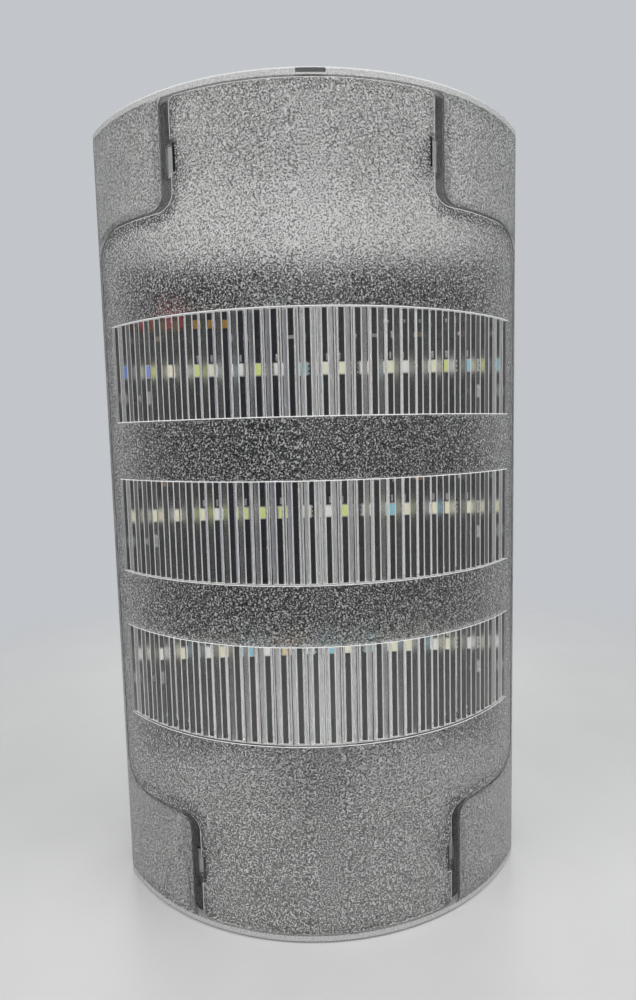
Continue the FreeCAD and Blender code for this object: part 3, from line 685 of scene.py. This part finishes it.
def rows(name, mesh, finish, slot, first, step=0.0, count=1, rise=0.0, tiers=1, replaces=(), body="base"):
    """Copies of a mesh from the place first, count along +X and tiers along +Z, as one piece."""
    part = bpy.data.objects.new(name + "_part", mesh)
    holder = bpy.data.objects.new(name, bpy.data.meshes.new(name))
    scene.collection.objects.link(holder)
    spread = holder.modifiers.new("rows", "NODES")
    spread.node_group = ROW_TREE
    values = {"Part": part, "First": Vector(first) * MM, "Step": Vector((step, 0, 0)) * MM, "Count": count,
              "Rise": Vector((0, 0, rise)) * MM, "Rows": tiers, "Finish": finish}
    for key, value in values.items():
        spread[SOCKETS[key]] = value
    made = bpy.data.meshes.new_from_object(holder.evaluated_get(bpy.context.evaluated_depsgraph_get()))
    holder.modifiers.clear()
    holder.data = made
    bpy.data.objects.remove(part)
    made.polygons.foreach_set("use_smooth", [True] * len(made.polygons))
    made.set_sharp_from_angle(angle=SMOOTH_ANGLE)
    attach(holder, body)
    if replaces:
        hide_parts(*replaces)
    print(name, "has", count * tiers, "copies and", len(made.polygons), "faces")
    return holder


def box_mm(node):
    """A node's box as low and high corners in millimetres."""
    near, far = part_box(node)
    return Vector(near) / MM, Vector(far) / MM


# %% Light packages
TIERS = ("bottom", "middle", "top")
LIGHTS = 16
LIGHT_SIZE = 4.6
near, far = box_mm("leds_bottom")
BOARD_Y = far.y
LIGHT_PITCH = (far.x - near.x - LIGHT_SIZE) / (LIGHTS - 1)
LIGHT_FIRST = Vector((near.x + LIGHT_SIZE / 2, BOARD_Y, (near.z + far.z) / 2))
every_light = {"step": LIGHT_PITCH, "count": LIGHTS, "rise": TIER_PITCH, "tiers": 3}
rows("light_packages", box_part(LIGHT_SIZE, LIGHT_SIZE, 1.3, 0.25), white_package, "led", LIGHT_FIRST,
     replaces=["leds_" + tier for tier in TIERS], **every_light)
rows("light_lenses", box_part(3.9, 3.9, 0.3, 0.14, at=(0, -1.2, 0)), lens_painted_glow, "led", LIGHT_FIRST,
     **every_light)
tabs = [box_part(0.7, 0.9, 0.35, 0.05, at=(side * 2.35, 0, row * 1.6))
        for side in (-1, 1) for row in (-1, 0, 1)]
rows("light_tabs", joined(*tabs), tin, "led", LIGHT_FIRST, **every_light)


# %% Ballast resistors and drive parts
def chip_part(name, size, end, finish, slot, first, replaces=(), **places):
    """A chip resistor or capacitor: a body between two tinned ends."""
    width, height, depth = size
    body = box_part(width - 2 * end, height, depth * 0.92, 0.05)
    ends = [box_part(end, height, depth, 0.07, at=(side * (width - end) / 2, 0, 0)) for side in (-1, 1)]
    rows(name + "_bodies", body, finish, slot, first, replaces=replaces, **places)
    rows(name + "_ends", joined(*ends), tin, slot, first, **places)


near, far = box_mm("driver_parts_bottom")
ballast_z = near.z + 1.2
chip_part("ballast", (3.2, 2.4, 0.8), 0.5, chip_black, "small_parts",
          (LIGHT_FIRST.x, BOARD_Y, ballast_z), ["driver_parts_" + tier for tier in TIERS], **every_light)
DRIVE_KINDS = (("buffer", (3.0, 1.6, 1.1), 0.5, ceramic_tan), ("gate", (2.0, 1.2, 0.6), 0.35, chip_black),
               ("sense", (2.0, 1.2, 0.6), 0.35, ceramic_white), ("diode", (4.6, 2.4, 1.4), 0.5, chip_black))
DRIVES = 15
for place, (name, size, end, finish) in enumerate(DRIVE_KINDS):
    x = (place - (DRIVES - 1) / 2) * LIGHT_PITCH
    chip_part(name, size, end, finish, "small_parts", (x, BOARD_Y, far.z - 1.2), step=4 * LIGHT_PITCH,
              count=len(range(place, DRIVES, 4)), rise=TIER_PITCH, tiers=3)


# %% Control parts on the top board
def dress_row(node, size, count):
    """Where the first of a node's equal parts stands, and the step between them."""
    near, far = box_mm(node)
    step = (far.x - near.x - size[0]) / max(count - 1, 1)
    return (near.x + size[0] / 2, BOARD_Y, (near.z + far.z) / 2), {"step": step, "count": count}


first, places = dress_row("control_resistors", (2.0, 1.25, 0.6), 10)
chip_part("control_resistor", (2.0, 1.25, 0.6), 0.35, chip_black, "small_parts", first, ["control_resistors"],
          **places)
first, places = dress_row("tantalum_capacitors", (3.5, 2.8, 1.9), 3)
rows("tantalum_bodies", box_part(3.3, 2.8, 1.9, 0.2), resin_yellow, "yellow_plastic", first,
     replaces=["tantalum_capacitors"], **places)
rows("tantalum_stripes", box_part(0.7, 2.6, 0.05, 0.01, at=(-1.0, -1.86, 0)), resin_brown, "yellow_plastic",
     first, **places)
ends = [box_part(0.4, 2.2, 1.0, 0.05, at=(side * 1.6, 0, 0)) for side in (-1, 1)]
rows("tantalum_ends", joined(*ends), tin, "yellow_plastic", first, **places)
first, places = dress_row("film_capacitor", (7.0, 8.5, 8.0), 1)
rows("film_capacitor_case", box_part(7.0, 8.5, 8.0, 0.6), film_red, "red_plastic", first,
     replaces=["film_capacitor"])
first, places = dress_row("electrolytic_capacitors", (5.6, 5.6, 5.6), 2)
can = round_part([(2.3, -0.8), (2.5, -0.9), (2.5, -1.5), (2.3, -1.75), (2.5, -2.0), (2.5, -5.2), (2.35, -5.5),
                  (2.1, -5.6), (1.9, -5.45), (0.4, -5.45)])
rows("can_cases", can, can_metal, "can_metal", first, replaces=["electrolytic_capacitors"], **places)
rows("can_bases", box_part(5.6, 5.6, 0.9, 0.15), chip_black, "can_metal", first, **places)
first, places = dress_row("control_chips", (9.0, 6.2, 1.6), 2)
rows("chip_bodies", box_part(9.0, 4.0, 1.6, 0.12), chip_black, "chip", first,
     replaces=["control_chips"], **places)
legs = [box_part(0.42, 1.2, 0.5, 0.06, at=((leg - 3) * 1.27, 0, side * 2.5)) for leg in range(7)
        for side in (-1, 1)]
rows("chip_legs", joined(*legs), tin, "chip", first, **places)

# %% Board screws
SCREW_SIZE = 5.2
near, far = box_mm("board_screws")
head = round_part([(2.6, -0.05), (2.6, -0.5), (2.45, -1.05), (2.0, -1.5), (1.3, -1.75), (0.5, -1.8)], 40)
upright = box_part(0.6, 2.9, 1.5, 0.02, at=(0, -0.9, 0))
level = box_part(2.9, 0.6, 1.5, 0.02, at=(0, -0.9, 0))
shank = round_part([(1.4, -0.1), (1.4, 15.2), (0.7, 15.9)], 20)
rows("screws", joined(carved(carved(head, upright), level), shank), steel, "bright_steel",
     (near.x + SCREW_SIZE / 2, BOARD_Y, near.z + SCREW_SIZE / 2), step=far.x - near.x - SCREW_SIZE, count=2,
     rise=TIER_PITCH, tiers=3, replaces=["board_screws"])

# %% [markdown]
# ## Floor, backdrop and light
# The light stands on a plain pale floor in a soft white room. The floor fades out round the light, and what
# lies beyond it is the world's own pale colour, for the camera and for what shows in or through the plastic.

# %% Floor
FLOOR_RADIUS = 0.9
FLOOR_FADE = (0.22, 0.5)
ROOM_COLOUR = (0.54, 0.56, 0.59)
ROOM_BEHIND_CAMERA = (0.10, 0.105, 0.11)
SIDES_MIRRORED = (0.20, 0.21, 0.225)
BACK_THROUGH = (0.86, 0.86, 0.87)
# The room ahead, as it shows through the ribs: shaded on the left and lighter on the right.
FRONT_SHADE = (0.13, 0.14, 0.20)
FRONT_THROUGH = (0.58, 0.565, 0.56)
CEILING_COLOUR = (0.98, 0.98, 0.97)
FILL_COLOUR = (0.42, 0.43, 0.445)


def floor_finish():
    finish = Finish("floor")
    here, x, y, z = finish.place()
    away = (x * x + y * y).math("SQRT")
    clouds = finish.noise(here, 40.0, detail=4.0)
    colour = finish.mix(clouds, (0.53, 0.53, 0.525), (0.59, 0.59, 0.585))
    solid = finish.node("ShaderNodeBsdfPrincipled", None, {"Base Color": colour, "Roughness": 0.35})("BSDF")
    gone = finish.node("ShaderNodeBsdfTransparent")("BSDF")
    fade = away.step(sum(FLOOR_FADE) / 2 / MM, (FLOOR_FADE[1] - FLOOR_FADE[0]) / MM)
    both = finish.node("ShaderNodeMixShader", None, {0: fade, 1: solid, 2: gone})("Shader")
    finish.node("ShaderNodeOutputMaterial", None, {"Surface": both})
    return finish.material


disc = bmesh.new()
bmesh.ops.create_circle(disc, cap_ends=True, segments=96, radius=FLOOR_RADIUS)
floor_mesh = bpy.data.meshes.new("floor")
disc.to_mesh(floor_mesh)
disc.free()
floor_mesh.materials.append(floor_finish())
floor = bpy.data.objects.new("floor", floor_mesh)
scene.collection.objects.link(floor)

# %% World and lamps
world = bpy.data.worlds.new("room")
world.use_nodes = True
scene.world = world
room_tree = Finish.on(world.node_tree)
to_sky = room_tree.node("ShaderNodeTexCoord")("Generated")
toward = room_tree.node("ShaderNodeSeparateXYZ", inputs={0: to_sky})
ahead = (-toward("Y")).step(0.45, 0.9) * (1 - abs(toward("Z")).step(0.55, 0.7))
above = toward("Z").step(0.6, 0.7)
mirrored = room_tree.mix(above, room_tree.mix(ahead, SIDES_MIRRORED, ROOM_BEHIND_CAMERA), CEILING_COLOUR)
front = room_tree.mix(toward("X").step(0.1, 0.9), FRONT_SHADE, FRONT_THROUGH)
through = room_tree.mix(above, room_tree.mix(ahead, BACK_THROUGH, front), CEILING_COLOUR)
rays = room_tree.node("ShaderNodeLightPath")
seen = room_tree.mix(rays("Is Glossy Ray"), FILL_COLOUR, mirrored)
seen = room_tree.mix(rays("Is Transmission Ray"), seen, through)
seen = room_tree.mix(rays("Is Camera Ray"), seen, ROOM_COLOUR)
room_light = room_tree.node("ShaderNodeBackground", None, {"Color": seen})("Background")
room_tree.node("ShaderNodeOutputWorld", None, {"Surface": room_light})


def soft_lamp(name, place, aim, size, power, colour=(1, 1, 1)):
    lamp = bpy.data.lights.new(name, "AREA")
    lamp.shape = "RECTANGLE"
    lamp.size, lamp.size_y = size
    lamp.energy = power
    lamp.color = colour
    stand = bpy.data.objects.new(name, lamp)
    stand.visible_transmission = False
    stand.location = place
    stand.rotation_euler = (Vector(aim) - Vector(place)).to_track_quat("-Z", "Y").to_euler()
    scene.collection.objects.link(stand)
    return stand


TARGET = (0, 0, MIDDLE_Z * MM)
soft_lamp("ceiling_lamp", (0.1, -0.35, 1.1), TARGET, (0.9, 0.7), 7)
soft_lamp("left_window", (-0.9, -0.5, 0.95), TARGET, (0.6, 0.5), 3.5, (1.0, 0.98, 0.96))
soft_lamp("right_window", (0.9, -0.4, 0.95), TARGET, (0.6, 0.5), 2.5)
soft_lamp("front_glint", (0.03, -0.99, 0.53), TARGET, (0.10, 0.10), 1.6)
soft_lamp("back_lamp", (0.0, 0.9, 0.7), TARGET, (0.9, 0.7), 2.5)
